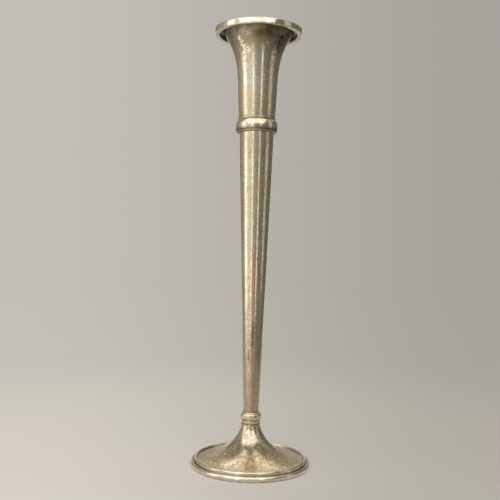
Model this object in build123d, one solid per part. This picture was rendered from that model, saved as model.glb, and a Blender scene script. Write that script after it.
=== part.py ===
from build123d import *
import math
import os

# Trumpet vase in sheet metal, standing on the plane z = 0 with its axis on Z. Lengths are millimetres.

# Heights of the pieces as they stack up from the table
foot_height = 29.4  # table to the top of the foot's neck
stem_length = 195.0  # the stretch that shows, from knop to collar
mouth_length = 62.1  # collar to the top of the rim

# Tapered stem
stem_foot_diameter = 10.6
stem_top_diameter = 24.62
stem_wall = 0.8

# Trumpet mouth: a curve that leaves the collar almost upright and opens into a straight lip
throat_diameter = 25.76
throat_angle = 85.2  # degrees above level
throat_lead = 34.0  # how far the throat's direction carries into the curve
flare_diameter = 49.5  # where the curve meets the lip
lip_angle = 60.5
lip_lead = 26.2
lip_depth = 1.5  # also the thickness of the rim's flange
mouth_wall = 0.8

# Rim round the mouth: a flange on the lip, with a band that hangs from its edge
rim_reach = 6.15  # from the flare's end to the outside of the band
rim_width = 3.6  # of the band
rim_height = 4.3
rim_edge_radius = 0.8
rim_inner_radius = 0.4

# Collar: a half-round bead with a fine band above it, over the joint of stem and mouth
bead_height = 9.0
bead_bulge = 1.84
collar_wall = 0.2  # metal outside the wider tube at the bead's edges
groove_height = 0.4
band_height = 1.0
band_proud = 0.12
stem_lap = 4.6  # how far the stem goes up into the collar
collar_web = 1.2  # the inner ring that both tubes seat on

# Knop: a fillet, a ring and a cap, turned in one piece round the foot of the stem
knop_wall = 1.0  # metal outside the stem at the knop's waist
fillet_height = 2.2
fillet_bulge = 0.28
ring_height = 5.0
ring_bulge = 1.0
cap_height = 0.9
socket_depth = 4.0  # how far the stem goes down into the knop
spigot_length = 3.5  # how far the knop goes down into the foot's neck

# Foot: a curve that leaves the edge almost level and sweeps up into the neck
neck_proud = 0.25  # the neck's radius beyond the knop's waist
neck_angle = 93.5
neck_lead = 12.9
edge_rise = 4.9  # height of the foot's surface at its edge
edge_angle = 166.5
edge_lead = 14.7
foot_wall = 0.9

# Stepped edge of the foot, which the vase stands on
foot_diameter = 83.6
foot_band_height = 3.6
foot_band_width = 2.4
foot_band_round = 0.8
foot_groove_width = 0.35
foot_groove_depth = 0.35
foot_bead_width = 1.9
foot_bead_height = 6.1
foot_bead_crown = 1.5
ledge_width = 1.85  # under the foot shell's edge

# Base plate and pad in the recess under the foot
pad_recess = 0.25
pad_thickness = 1.05
pad_margin = 0.4
plate_thickness = 0.9
plate_land = 1.7  # the step in the moulding that the plate seats on

# Tie between stem and foot
stud_diameter = 4.0
stud_tail = 0.5
nut_flats = 7.0
nut_height = 3.2
nut_room = 0.9  # between nut and base plate
washer_diameter = 14.0
washer_thickness = 1.0
pocket_margin = 1.5
plug_height = 8.0
plug_thread = 6.0

# Clearances
solder_gap = 0.05
thread_gap = 0.05
stud_gap = 0.2
filling_gap = 0.1
plate_gap = 0.15

# Radii worked out from the driving sizes
stem_foot_radius = stem_foot_diameter / 2
stem_top_radius = stem_top_diameter / 2
throat_radius = throat_diameter / 2
flare_radius = flare_diameter / 2
foot_radius = foot_diameter / 2
stud_radius = stud_diameter / 2
waist_radius = stem_foot_radius + knop_wall
neck_radius = waist_radius + neck_proud
spigot_radius = neck_radius - foot_wall - solder_gap
stud_hole_radius = stud_radius + stud_gap
foot_bead_outer = foot_radius - foot_band_width - foot_groove_width
foot_bead_inner = foot_bead_outer - foot_bead_width
foot_edge_radius = foot_bead_inner - solder_gap

# Levels worked out from the driving sizes
knop_height = fillet_height + ring_height + cap_height
collar_height = bead_height + groove_height + band_height
knop_level = foot_height
stem_level = knop_level + knop_height
collar_level = stem_level + stem_length
mouth_level = collar_level + collar_height
rim_level = mouth_level + mouth_length
socket_level = stem_level - socket_depth
spigot_level = knop_level - spigot_length
stem_top_level = collar_level + stem_lap
mouth_tail_level = stem_top_level + collar_web
plate_level = pad_recess + pad_thickness
plate_seat_level = plate_level + plate_thickness
nut_level = plate_seat_level + nut_room
washer_level = nut_level + nut_height
pocket_level = washer_level + washer_thickness


def turned(*edges):
    """Turn a closed outline of (radius, height) edges about the vase's axis."""
    return revolve(Plane.XZ * make_face(Curve() + list(edges)), Axis.Z)


def disc(radius, thickness, level):
    """Flat round piece with its underside at a level."""
    return Pos(0, 0, level) * Cylinder(radius, thickness, align=(Align.CENTER, Align.CENTER, Align.MIN))


def half_round(radius, level, bulge, height):
    """Edge of a bead that stands out from a radius, from a level upwards."""
    return EllipticalCenterArc((radius, level + height / 2), bulge, height / 2, -90, arc_size=180)


def spun_points(start, start_angle, start_lead, end, end_angle, end_lead, inset):
    """Control points of a spun wall's curve, set in from its outer side by inset."""
    stretch = inset * math.tan(math.radians(abs(end_angle - start_angle)) / 4) * 4 / 3
    along_start = Vector(1, 0).rotate(Axis.Z, start_angle)
    along_end = Vector(1, 0).rotate(Axis.Z, end_angle)
    first = Vector(*start) + along_start.rotate(Axis.Z, 90) * inset
    last = Vector(*end) + along_end.rotate(Axis.Z, 90) * inset
    return [
        first,
        first + along_start * (start_lead + stretch),
        last - along_end * (end_lead + stretch),
        last,
    ]


def mouth_points(inset):
    """Control points of the trumpet's curve, from throat to lip."""
    start = (throat_radius, mouth_level)
    end = (flare_radius, rim_level - lip_depth)
    return spun_points(start, throat_angle, throat_lead, end, lip_angle, lip_lead, inset)


def foot_points(inset):
    """Control points of the foot's curve, from edge to neck."""
    start = (foot_edge_radius, edge_rise)
    end = (neck_radius, foot_height)
    return spun_points(start, edge_angle, edge_lead, end, neck_angle, neck_lead, inset)


def stem_radius(level):
    """Outer radius of the tapered stem at a level."""
    taper = (stem_top_radius - stem_foot_radius) / stem_length
    return stem_foot_radius + taper * (level - stem_level)


def tail_radius(level):
    """Outer radius of the mouth's straight tail, inside the collar, at a level."""
    return throat_radius + (level - mouth_level) / math.tan(math.radians(throat_angle))


def lip_radius(start, level):
    """Radius where the straight lip from a start point reaches a level."""
    return start.X + (level - start.Y) / math.tan(math.radians(lip_angle))


def make_rim_band():
    """Rim with a flange seated on the cone of the lip and a band that hangs free of the flare below."""
    seat_foot = flare_radius + solder_gap
    seat_top = lip_radius(mouth_points(0)[-1], rim_level) + solder_gap
    flange = rim_level - lip_depth
    underside = rim_level - rim_height
    outer = flare_radius + rim_reach
    inner = outer - rim_width
    section = make_face(
        Polyline(
            (seat_foot, flange),
            (inner, flange),
            (inner, underside),
            (outer, underside),
            (outer, rim_level),
            (seat_top, rim_level),
            close=True,
        )
    )
    section = fillet(section.vertices().group_by(Axis.X)[-1], rim_edge_radius)
    inner_corner = section.vertices().group_by(Axis.Y)[0].sort_by(Axis.X)[0]
    section = fillet(inner_corner, rim_inner_radius)
    return revolve(Plane.XZ * section, Axis.Z)


def make_mouth_trumpet():
    """Spun mouth: a straight tail for the collar, the flare, and a lip cut level at the top."""
    outer = mouth_points(0)
    inner = mouth_points(mouth_wall)
    tail = tail_radius(mouth_tail_level)
    tail_bore = inner[0].X - (inner[0].Y - mouth_tail_level) / math.tan(math.radians(throat_angle))
    lip_outer = (lip_radius(outer[-1], rim_level), rim_level)
    lip_inner = (lip_radius(inner[-1], rim_level), rim_level)
    return turned(
        Line((tail, mouth_tail_level), outer[0]),
        Bezier(*outer),
        Polyline(outer[-1], lip_outer, lip_inner, inner[-1]),
        Bezier(*inner),
        Polyline(inner[0], (tail_bore, mouth_tail_level), (tail, mouth_tail_level)),
    )


def make_collar_bead():
    """Collar with a socket for the stem below, one for the mouth above, and a web between them."""
    base = max(stem_top_radius, throat_radius) + collar_wall
    band = base + band_proud
    bead_top = collar_level + bead_height
    band_foot = bead_top + groove_height
    web_bore = stem_radius(stem_top_level) - stem_wall
    return turned(
        Line((stem_radius(collar_level) + solder_gap, collar_level), (base, collar_level)),
        half_round(base, collar_level, bead_bulge, bead_height),
        Polyline(
            (base, bead_top),
            (base, band_foot),
            (band, band_foot),
            (band, mouth_level),
            (tail_radius(mouth_level) + solder_gap, mouth_level),
            (tail_radius(mouth_tail_level) + solder_gap, mouth_tail_level),
            (web_bore, mouth_tail_level),
            (web_bore, stem_top_level),
            (stem_radius(stem_top_level) + solder_gap, stem_top_level),
            (stem_radius(collar_level) + solder_gap, collar_level),
        ),
    )


def make_stem_tube():
    """Straight tapered tube, from the knop's socket to the collar's web."""
    foot = stem_radius(socket_level)
    top = stem_radius(stem_top_level)
    return turned(
        Polyline(
            (foot - stem_wall, socket_level),
            (foot, socket_level),
            (top, stem_top_level),
            (top - stem_wall, stem_top_level),
            close=True,
        )
    )


def make_stem_plug():
    """Tapered plug that closes the foot of the stem, with a blind thread for the stud."""
    inset = stem_wall + solder_gap
    plug_top = socket_level + plug_height
    thread_top = socket_level + plug_thread
    bore = stud_radius + thread_gap
    return turned(
        Polyline(
            (bore, socket_level),
            (stem_radius(socket_level) - inset, socket_level),
            (stem_radius(plug_top) - inset, plug_top),
            (0, plug_top),
            (0, thread_top),
            (bore, thread_top),
            close=True,
        )
    )


def make_knop_ring():
    """Turned knop, with a socket for the stem above and a spigot for the foot's neck below."""
    ring_foot = knop_level + fillet_height
    cap_foot = ring_foot + ring_height
    cap_bore = stem_radius(stem_level) + solder_gap
    return turned(
        Polyline(
            (stud_hole_radius, spigot_level),
            (spigot_radius, spigot_level),
            (spigot_radius, knop_level),
            (waist_radius, knop_level),
        ),
        half_round(waist_radius, knop_level, fillet_bulge, fillet_height),
        half_round(waist_radius, ring_foot, ring_bulge, ring_height),
        EllipticalCenterArc((cap_bore, cap_foot), waist_radius - cap_bore, cap_height, 0, arc_size=90),
        Polyline(
            (cap_bore, stem_level),
            (stem_radius(socket_level) + solder_gap, socket_level),
            (stud_hole_radius, socket_level),
            (stud_hole_radius, spigot_level),
        ),
    )


def make_foot_shell():
    """Spun foot, from its edge in the moulding to the level end of its neck under the knop."""
    outer = foot_points(0)
    inner = foot_points(foot_wall)
    return turned(
        Bezier(*outer),
        Polyline(outer[-1], (inner[-1].X, knop_level), inner[-1]),
        Bezier(*inner),
        Line(inner[0], outer[0]),
    )


def ledge_level(radius):
    """Level of the sloping ledge under the foot shell's edge, at a radius."""
    underside = foot_points(foot_wall + solder_gap)[0]
    return underside.Y + (radius - underside.X) * math.tan(math.radians(edge_angle))


def make_foot_moulding():
    """Edge of the foot: a rounded band, a fine groove and a bead, with steps inside for shell and plate."""
    side = foot_radius - foot_band_round
    groove_outer = foot_radius - foot_band_width
    groove_level = foot_band_height - foot_groove_depth
    bead_spring = foot_bead_height - foot_bead_crown
    ledge_inner = foot_bead_inner - ledge_width
    recess = ledge_inner + plate_land
    bead_centre = ((foot_bead_inner + foot_bead_outer) / 2, bead_spring)
    return turned(
        Line((recess, 0), (side, 0)),
        ThreePointArc((side, 0), (foot_radius, foot_band_height / 2), (side, foot_band_height)),
        Polyline(
            (side, foot_band_height),
            (groove_outer, foot_band_height),
            (groove_outer, groove_level),
            (foot_bead_outer, groove_level),
            (foot_bead_outer, bead_spring),
        ),
        EllipticalCenterArc(bead_centre, foot_bead_width / 2, foot_bead_crown, 0, arc_size=180),
        Polyline(
            (foot_bead_inner, bead_spring),
            (foot_bead_inner, ledge_level(foot_bead_inner)),
            (ledge_inner, ledge_level(ledge_inner)),
            (ledge_inner, plate_seat_level),
            (recess, plate_seat_level),
            (recess, 0),
        ),
    )


def make_foot_filling():
    """Cast weight in the hollow foot, with a hole for the stud and a pocket for washer and nut."""
    skin = foot_points(foot_wall + filling_gap)
    floor = plate_seat_level + filling_gap
    ceiling = spigot_level - filling_gap
    reach = foot_bead_inner - ledge_width - filling_gap
    body = turned(
        Bezier(*skin),
        Polyline(skin[-1], (0, skin[-1].Y), (0, floor), (skin[0].X, floor), skin[0]),
    )
    body = body & disc(reach, ceiling - floor, floor)
    pocket = disc(washer_diameter / 2 + pocket_margin, pocket_level - floor, floor)
    return body - pocket - disc(stud_hole_radius, ceiling - floor, floor)


def make_base_plate():
    """Round plate that closes the foot, held against the step in the moulding."""
    radius = foot_bead_inner - ledge_width + plate_land - plate_gap
    return disc(radius, plate_thickness - solder_gap, plate_level)


def make_base_felt():
    """Pad under the plate, set a little above the table."""
    radius = foot_bead_inner - ledge_width + plate_land - plate_gap - pad_margin
    return disc(radius, pad_thickness, pad_recess)


def make_tie_stud():
    """Stud from the plug in the stem down through knop, neck and filling to the nut."""
    foot = nut_level - stud_tail
    top = socket_level + plug_thread - stud_tail
    return disc(stud_radius, top - foot, foot)


def make_tie_washer():
    """Washer that spreads the nut's pull over the filling."""
    blank = disc(washer_diameter / 2, washer_thickness, washer_level)
    return blank - disc(stud_hole_radius, washer_thickness, washer_level)


def make_tie_nut():
    """Plain hexagon nut."""
    hexagon = RegularPolygon(nut_flats / 2, 6, major_radius=False)
    blank = extrude(Pos(0, 0, nut_level) * hexagon, nut_height)
    return blank - disc(stud_radius + thread_gap, nut_height, nut_level)


pieces = {
    "rim_band": make_rim_band(),
    "mouth_trumpet": make_mouth_trumpet(),
    "collar_bead": make_collar_bead(),
    "stem_tube": make_stem_tube(),
    "stem_plug": make_stem_plug(),
    "knop_ring": make_knop_ring(),
    "foot_shell": make_foot_shell(),
    "foot_moulding": make_foot_moulding(),
    "foot_filling": make_foot_filling(),
    "base_plate": make_base_plate(),
    "base_felt": make_base_felt(),
    "tie_stud": make_tie_stud(),
    "tie_washer": make_tie_washer(),
    "tie_nut": make_tie_nut(),
}

os.makedirs("parts", exist_ok=True)
for name, solid in pieces.items():
    export_step(solid, f"parts/{name}.step")
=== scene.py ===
"""Looks of a tall trumpet vase in aged silver plate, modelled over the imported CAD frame.

The frame is in metres, with +Z up the vase's axis, the table at z = 0 and the viewer on the -Y side. Sizes
in the classes below are millimetres, and the lathe turns them into metres.
"""

import logging
import math
from dataclasses import dataclass, field
from enum import Enum
from typing import ClassVar, Iterable, Iterator, NamedTuple

import bpy
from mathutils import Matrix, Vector


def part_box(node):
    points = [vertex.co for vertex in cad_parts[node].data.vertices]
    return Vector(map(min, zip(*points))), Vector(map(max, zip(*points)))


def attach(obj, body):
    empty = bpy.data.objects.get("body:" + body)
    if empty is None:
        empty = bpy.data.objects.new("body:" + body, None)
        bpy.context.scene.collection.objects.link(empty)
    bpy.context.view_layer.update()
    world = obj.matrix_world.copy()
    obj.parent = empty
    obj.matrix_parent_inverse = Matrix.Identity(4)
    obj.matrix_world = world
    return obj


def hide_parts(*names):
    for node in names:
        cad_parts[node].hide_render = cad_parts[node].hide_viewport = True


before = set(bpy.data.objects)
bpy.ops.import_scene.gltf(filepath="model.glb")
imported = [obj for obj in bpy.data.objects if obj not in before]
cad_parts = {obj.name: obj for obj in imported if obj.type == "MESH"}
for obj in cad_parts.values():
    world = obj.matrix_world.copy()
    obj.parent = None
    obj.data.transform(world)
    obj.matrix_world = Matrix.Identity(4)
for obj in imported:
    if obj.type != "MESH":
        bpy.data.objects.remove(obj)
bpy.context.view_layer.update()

LOG = logging.getLogger("trumpet_vase")
BODY = "root"
MM = 0.001

Colour = tuple[float, float, float]
Feed = bpy.types.NodeSocket | float | tuple[float, ...]


class Spot(NamedTuple):
    """A point of an outline, in millimetres: distance from the axis and height above the table."""

    radius: float
    level: float


class Span(NamedTuple):
    """Outer radius, lowest and highest level of a CAD node, in millimetres."""

    radius: float
    low: float
    high: float


def span_of(node: str) -> Span:
    """Read a CAD node's outer radius and its two levels from the frame."""
    low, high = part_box(node)
    return Span(high.x / MM, low.z / MM, high.z / MM)


@dataclass(frozen=True)
class SpunCurve:
    """Curve of a spun wall, given by the directions in which it leaves its two ends."""

    start: Spot
    start_angle: float
    start_lead: float
    end: Spot
    end_angle: float
    end_lead: float

    def controls(self, inset: float) -> list[Vector]:
        """Work out the curve's four control points.

        Args:
            inset: How far the curve lies inside the wall's outer side.

        Returns:
            The control points, from start to end.
        """
        turn = math.radians(abs(self.end_angle - self.start_angle))
        stretch = inset * math.tan(turn / 4) * 4 / 3
        along_start, along_end = (
            Vector((math.cos(math.radians(angle)), math.sin(math.radians(angle))))
            for angle in (self.start_angle, self.end_angle)
        )
        first = Vector(self.start) + along_start.orthogonal() * inset
        last = Vector(self.end) + along_end.orthogonal() * inset
        return [
            first,
            first + along_start * (self.start_lead + stretch),
            last - along_end * (self.end_lead + stretch),
            last,
        ]

    def spots(self, count: int, inset: float = 0.0) -> list[Spot]:
        """Follow the curve.

        Args:
            count: Number of steps.
            inset: How far inside the wall's outer side.

        Returns:
            Points from start to end, both included.
        """
        a, b, c, d = self.controls(inset)
        found = []
        for step in range(count + 1):
            t = step / count
            s = 1 - t
            found.append(Spot(*(a * s**3 + b * 3 * s * s * t + c * 3 * s * t * t + d * t**3)))
        return found


@dataclass
class Outline:
    """Closed outline in the half plane of radius and level, drawn point by point in millimetres."""

    points: list[Spot] = field(default_factory=list)

    def to(self, radius: float, level: float, steps: int = 1) -> "Outline":
        """Draw a straight run.

        Args:
            radius: Where the run ends.
            level: Where the run ends.
            steps: How many rings the run is divided into.

        Returns:
            The outline, for the next call.
        """
        end = Vector((radius, level))
        start = Vector(self.points[-1]) if self.points else end
        for step in range(1, steps + 1):
            self.points.append(Spot(*start.lerp(end, step / steps)))
        return self

    def through(self, spots: Iterable[Spot]) -> "Outline":
        """Draw on through a curve's points, without doubling one.

        Args:
            spots: The points, in order.

        Returns:
            The outline, for the next call.
        """
        for spot in spots:
            if not self.points or math.dist(spot, self.points[-1]) > 1e-6:
                self.points.append(spot)
        return self

    def arc(
        self, centre: Spot, reach: float, rise: float, start: float, sweep: float, steps: int
    ) -> "Outline":
        """Draw a stretch of an ellipse, from its half width and half height and two angles in degrees."""
        angles = (math.radians(start + sweep * step / steps) for step in range(steps + 1))
        return self.through(
            Spot(centre.radius + reach * math.cos(a), centre.level + rise * math.sin(a)) for a in angles
        )

    def moves(self, closed: bool) -> Iterator[Vector]:
        """Yield each move from a point to the next, and back to the first of a closed outline, in metres."""
        for here, there in zip(self.points, self.points[1:] + self.points[: int(closed)]):
            yield Vector((there.radius - here.radius, 0.0, there.level - here.level)) * MM


class WearLayer(Enum):
    """Attributes that say where a piece is grimy, rubbed bright or tarnished; the grime and tarnish layers
    also carry painted shade under the rim and under the collar's bead.
    """

    CREVICE_DIRT_AND_SHADE = "crevice"
    RUBBED = "rubbed"
    TARNISH = "tarnish"


class Ring(NamedTuple):
    """A circle round the axis, in millimetres, how far its wear reaches and how strong it is."""

    radius: float
    level: float
    reach: float
    strength: float = 1.0

    def wear_at(self, radius: float, level: float) -> float:
        """Give the wear at a distance from the axis and a level."""
        away = math.dist((radius, level), (self.radius, self.level))
        return self.strength * math.exp(-((away / self.reach) ** 2))


@dataclass(frozen=True)
class Ding:
    """A small knock: its place, the direction and depth of the blow, and its reach, in millimetres."""

    place: tuple[float, float, float]
    blow: tuple[float, float, float]
    reach: float


@dataclass(frozen=True)
class Lathe:
    """Turns outlines into pieces and works them over by hand."""

    steps: int = 192
    eased: float = 0.07
    ease_angle: float = 35.0
    smooth_angle: float = 42.0
    weld: float = 0.001

    def turn(self, name: str, outline: Outline, closed: bool = True) -> bpy.types.Object:
        """Spin an outline about the vase's axis and ease its sharp corners.

        Args:
            name: The piece's name.
            outline: Its section.
            closed: Whether the section goes back to its first point.

        Returns:
            The finished object, at the origin.
        """
        bpy.ops.object.select_all(action="DESELECT")
        bpy.ops.mesh.primitive_plane_add(size=MM)
        piece = bpy.context.object
        piece.name = piece.data.name = name
        bpy.ops.object.mode_set(mode="EDIT")
        bpy.ops.mesh.select_all(action="SELECT")
        bpy.ops.mesh.merge(type="CENTER")
        first = outline.points[0]
        bpy.ops.transform.translate(value=(first.radius * MM, 0.0, first.level * MM))
        for move in outline.moves(closed):
            bpy.ops.mesh.extrude_region_move(TRANSFORM_OT_translate={"value": move})
        bpy.ops.mesh.select_all(action="SELECT")
        bpy.ops.mesh.spin(
            steps=self.steps, angle=math.tau, center=(0, 0, 0), axis=(0, 0, 1), use_auto_merge=True
        )
        bpy.ops.mesh.select_all(action="SELECT")
        bpy.ops.mesh.remove_doubles(threshold=self.weld * MM)
        bpy.ops.mesh.normals_make_consistent(inside=False)
        bpy.ops.object.mode_set(mode="OBJECT")
        bpy.ops.object.modifier_add(type="BEVEL")
        bevel = piece.modifiers[-1]
        bevel.limit_method = "ANGLE"
        bevel.angle_limit = math.radians(self.ease_angle)
        bevel.width = self.eased * MM
        bevel.segments = 2
        bpy.ops.object.modifier_apply(modifier=bevel.name)
        bpy.ops.object.shade_smooth_by_angle(angle=math.radians(self.smooth_angle))
        return piece

    def waver(self, piece: bpy.types.Object, depth: float, size: float, fade: float) -> None:
        """Give a spun wall the slight unevenness of hand work, which dies out towards its two ends.

        Args:
            piece: The piece to work over.
            depth: Height of the unevenness, in millimetres.
            size: Its breadth, in millimetres.
            fade: How far from the ends it is at its full height, in millimetres.
        """
        levels = [vertex.co.z / MM for vertex in piece.data.vertices]
        low, high = min(levels), max(levels)
        free = piece.vertex_groups.new(name="free")
        for index, level in enumerate(levels):
            free.add([index], min(1.0, min(level - low, high - level) / fade), "REPLACE")
        hammer = bpy.data.textures.new(piece.name + "_waver", "CLOUDS")
        hammer.noise_scale = size * MM
        hammer.noise_depth = 1
        bpy.context.view_layer.objects.active = piece
        bpy.ops.object.modifier_add(type="DISPLACE")
        displace = piece.modifiers[-1]
        displace.texture = hammer
        displace.texture_coords = "LOCAL"
        displace.mid_level = 0.5
        displace.strength = depth * MM
        displace.vertex_group = free.name
        bpy.ops.object.modifier_apply(modifier=displace.name)
        piece.vertex_groups.clear()
        bpy.data.textures.remove(hammer)

    def knock(self, piece: bpy.types.Object, dings: Iterable[Ding]) -> None:
        """Press small dings into a piece, each at the vertex nearest to its place.

        Args:
            piece: The piece to mark.
            dings: The knocks that it has had.
        """
        bpy.ops.object.select_all(action="DESELECT")
        piece.select_set(True)
        bpy.context.view_layer.objects.active = piece
        for ding in dings:
            bpy.ops.object.mode_set(mode="EDIT")
            bpy.ops.mesh.select_mode(type="VERT")
            bpy.ops.mesh.select_all(action="DESELECT")
            bpy.ops.object.mode_set(mode="OBJECT")
            place = Vector(ding.place) * MM
            nearest = min(piece.data.vertices, key=lambda vertex: (vertex.co - place).length_squared)
            nearest.select = True
            bpy.ops.object.mode_set(mode="EDIT")
            bpy.ops.transform.translate(
                value=Vector(ding.blow) * MM,
                use_proportional_edit=True,
                proportional_edit_falloff="SMOOTH",
                proportional_size=ding.reach * MM,
            )
            bpy.ops.object.mode_set(mode="OBJECT")

    def wear(self, piece: bpy.types.Object, **worn: list[Ring]) -> None:
        """Mark where a piece is grimy, rubbed or tarnished, or carries painted shade, near some circles round
        the axis.

        Args:
            piece: The piece to mark.
            worn: The circles where the wear is strongest, by the name of its layer.
        """
        for name, rings in worn.items():
            values = []
            for vertex in piece.data.vertices:
                here = Spot(math.hypot(vertex.co.x, vertex.co.y) / MM, vertex.co.z / MM)
                values.append(max(ring.wear_at(*here) for ring in rings))
            layer = piece.data.attributes.new(WearLayer(name).value, "FLOAT", "POINT")
            layer.data.foreach_set("value", values)


class Graph:
    """Short calls for wiring the nodes of one node tree."""

    MIX_FACTOR, MIX_A, MIX_B, MIX_RESULT = 0, 6, 7, 2

    def __init__(self, tree: bpy.types.NodeTree) -> None:
        """Take up a node tree, emptied."""
        self.tree = tree
        tree.nodes.clear()

    def feed(self, socket: bpy.types.NodeSocket, value: Feed) -> None:
        """Link a socket to another, or set its value.

        Args:
            socket: The socket that is fed.
            value: The other socket, or the value.
        """
        if isinstance(value, bpy.types.NodeSocket):
            self.tree.links.new(value, socket)
        elif isinstance(value, tuple) and socket.type == "RGBA":
            socket.default_value = (*value, 1.0)
        else:
            socket.default_value = value

    def node(
        self, kind: str, inputs: dict[str | int, Feed] | None = None, **settings: object
    ) -> bpy.types.Node:
        """Add a node.

        Args:
            kind: Its type, without the leading ShaderNode.
            inputs: What its sockets are fed, by name or number.
            settings: Its own properties.

        Returns:
            The node.
        """
        made = self.tree.nodes.new("ShaderNode" + kind)
        for name, value in settings.items():
            setattr(made, name, value)
        for key, value in (inputs or {}).items():
            self.feed(made.inputs[key], value)
        return made

    def sum(
        self, operation: str, first: Feed, second: Feed = 0.0, third: Feed = 0.0, clamp: bool = False
    ) -> bpy.types.NodeSocket:
        """Add a Math node and give its result, kept from 0 to 1 where it is clamped."""
        fed = {0: first, 1: second, 2: third}
        return self.node("Math", fed, operation=operation, use_clamp=clamp).outputs[0]

    def total(self, start: Feed, *parts: tuple[Feed, float]) -> Feed:
        """Add masks to a start, each by its weight.

        Args:
            start: What the sum starts from.
            parts: The masks and their weights.

        Returns:
            The sum's socket.
        """
        for mask, weight in parts:
            start = self.sum("MULTIPLY_ADD", mask, weight, start)
        return start

    def ease(
        self, value: Feed, low: Feed, high: Feed, start: Feed = 0.0, end: Feed = 1.0
    ) -> bpy.types.NodeSocket:
        """Map a value smoothly from the range low to high to the range start to end."""
        fed = {"Value": value, "From Min": low, "From Max": high, "To Min": start, "To Max": end}
        return self.node("MapRange", fed, interpolation_type="SMOOTHSTEP").outputs["Result"]

    def blend(self, share: Feed, first: Feed, second: Feed) -> bpy.types.NodeSocket:
        """Mix two colours, with a share of the second."""
        fed = {self.MIX_FACTOR: share, self.MIX_A: first, self.MIX_B: second}
        return self.node("Mix", fed, data_type="RGBA").outputs[self.MIX_RESULT]

    def layered(self, colour: Feed, *coats: tuple[Feed, float, Colour]) -> Feed:
        """Lay coats over a colour.

        Args:
            colour: The colour below.
            coats: The mask, the weight and the colour of each coat, from the lowest up.

        Returns:
            The socket of the colour that shows.
        """
        for mask, weight, tone in coats:
            colour = self.blend(self.sum("MULTIPLY", mask, weight), colour, tone)
        return colour

    def ramp(self, value: Feed, stops: list[tuple[float, Colour]]) -> bpy.types.NodeSocket:
        """Turn a value into a colour.

        Args:
            value: What is turned into a colour, from 0 to 1.
            stops: Values and their colours in rising order, the first at 0 and the last at 1.

        Returns:
            The colour's socket.
        """
        made = self.node("ValToRGB", {"Fac": value})
        elements = made.color_ramp.elements
        for position, colour in stops:
            known = {0.0: elements[0], 1.0: elements[-1]}
            element = known.get(position) or elements.new(position)
            element.color = (*colour, 1.0)
        return made.outputs["Color"]

    def noise(
        self, place: Feed, scale: Feed, detail: float = 3.0, rough: float = 0.55
    ) -> bpy.types.NodeSocket:
        """Add a noise about 0.5, with its swells to a unit of place, its finer layers and their strength."""
        fed = {"Vector": place, "Scale": scale, "Detail": detail, "Roughness": rough}
        return self.node("TexNoise", fed).outputs[0]

    def vector(self, operation: str, first: Feed, second: Feed) -> bpy.types.NodeSocket:
        """Add a Vector Math node that works component by component, and give its result."""
        return self.node("VectorMath", {0: first, 1: second}, operation=operation).outputs[0]

    def place(self) -> bpy.types.NodeSocket:
        """Give the place on the vase, in millimetres."""
        return self.vector("MULTIPLY", self.node("TexCoord").outputs["Object"], (1 / MM,) * 3)


class SharedEffect:
    """A shader node group that several finishes use, each with its own values. It puts out a mask."""

    title: ClassVar[str]
    inlets: ClassVar[dict[str, str]]

    @classmethod
    def group(cls) -> bpy.types.NodeTree:
        """Give the effect's node group, which is built at the first call.

        Returns:
            The node group.
        """
        made = bpy.data.node_groups.get(cls.title)
        if made is None:
            made = bpy.data.node_groups.new(cls.title, "ShaderNodeTree")
            for name, kind in cls.inlets.items():
                made.interface.new_socket(name=name, in_out="INPUT", socket_type="NodeSocket" + kind)
            made.interface.new_socket(name="Mask", in_out="OUTPUT", socket_type="NodeSocketFloat")
            graph = Graph(made)
            inlet = made.nodes.new("NodeGroupInput")
            outlet = made.nodes.new("NodeGroupOutput")
            graph.feed(outlet.inputs["Mask"], cls.wire(graph, inlet.outputs))
        return made

    @classmethod
    def wire(cls, graph: Graph, given: bpy.types.NodeOutputs) -> bpy.types.NodeSocket:
        """Wire the effect's own nodes.

        Args:
            graph: The group's nodes.
            given: The group's inputs.

        Returns:
            The mask's socket.
        """
        raise NotImplementedError

    @classmethod
    def on(cls, graph: Graph, **values: Feed) -> bpy.types.NodeSocket:
        """Place the effect in a finish with its values, and give the mask."""
        return graph.node("Group", values, node_tree=cls.group()).outputs["Mask"]


class Mottle(SharedEffect):
    """Cloudy patches with ragged edges."""

    title = "Mottle"
    inlets = {"Place": "Vector", "Patch": "Float", "Cover": "Float", "Soft": "Float"}

    @classmethod
    def wire(cls, graph: Graph, given: bpy.types.NodeOutputs) -> bpy.types.NodeSocket:
        """Cut a noise off at the level that leaves the wanted cover.

        Args:
            graph: The group's nodes.
            given: The group's inputs.

        Returns:
            The mask's socket.
        """
        cloud = graph.noise(given["Place"], graph.sum("DIVIDE", 1.0, given["Patch"]), 6.0, 0.62)
        level = graph.sum("MULTIPLY_ADD", given["Cover"], -0.5, 0.75)
        low = graph.sum("SUBTRACT", level, given["Soft"])
        high = graph.sum("ADD", level, given["Soft"])
        return graph.ease(cloud, low, high)


class Hairlines(SharedEffect):
    """Fine scratches that run one way."""

    title = "Hairlines"
    inlets = {"Place": "Vector", "Run": "Vector", "Width": "Float"}

    @classmethod
    def wire(cls, graph: Graph, given: bpy.types.NodeOutputs) -> bpy.types.NodeSocket:
        """Keep the thin level lines of a stretched noise, broken into lengths.

        Args:
            graph: The group's nodes.
            given: The group's inputs.

        Returns:
            The mask's socket.
        """
        run = graph.vector("MULTIPLY", given["Place"], given["Run"])
        offset = graph.sum("ABSOLUTE", graph.sum("SUBTRACT", graph.noise(run, 1.0, 3.0), 0.5))
        line = graph.ease(offset, 0.0, given["Width"], 1.0, 0.0)
        broken = graph.ease(graph.noise(given["Place"], 0.21, 2.0), 0.42, 0.62)
        return graph.sum("MULTIPLY", line, broken)


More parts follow.
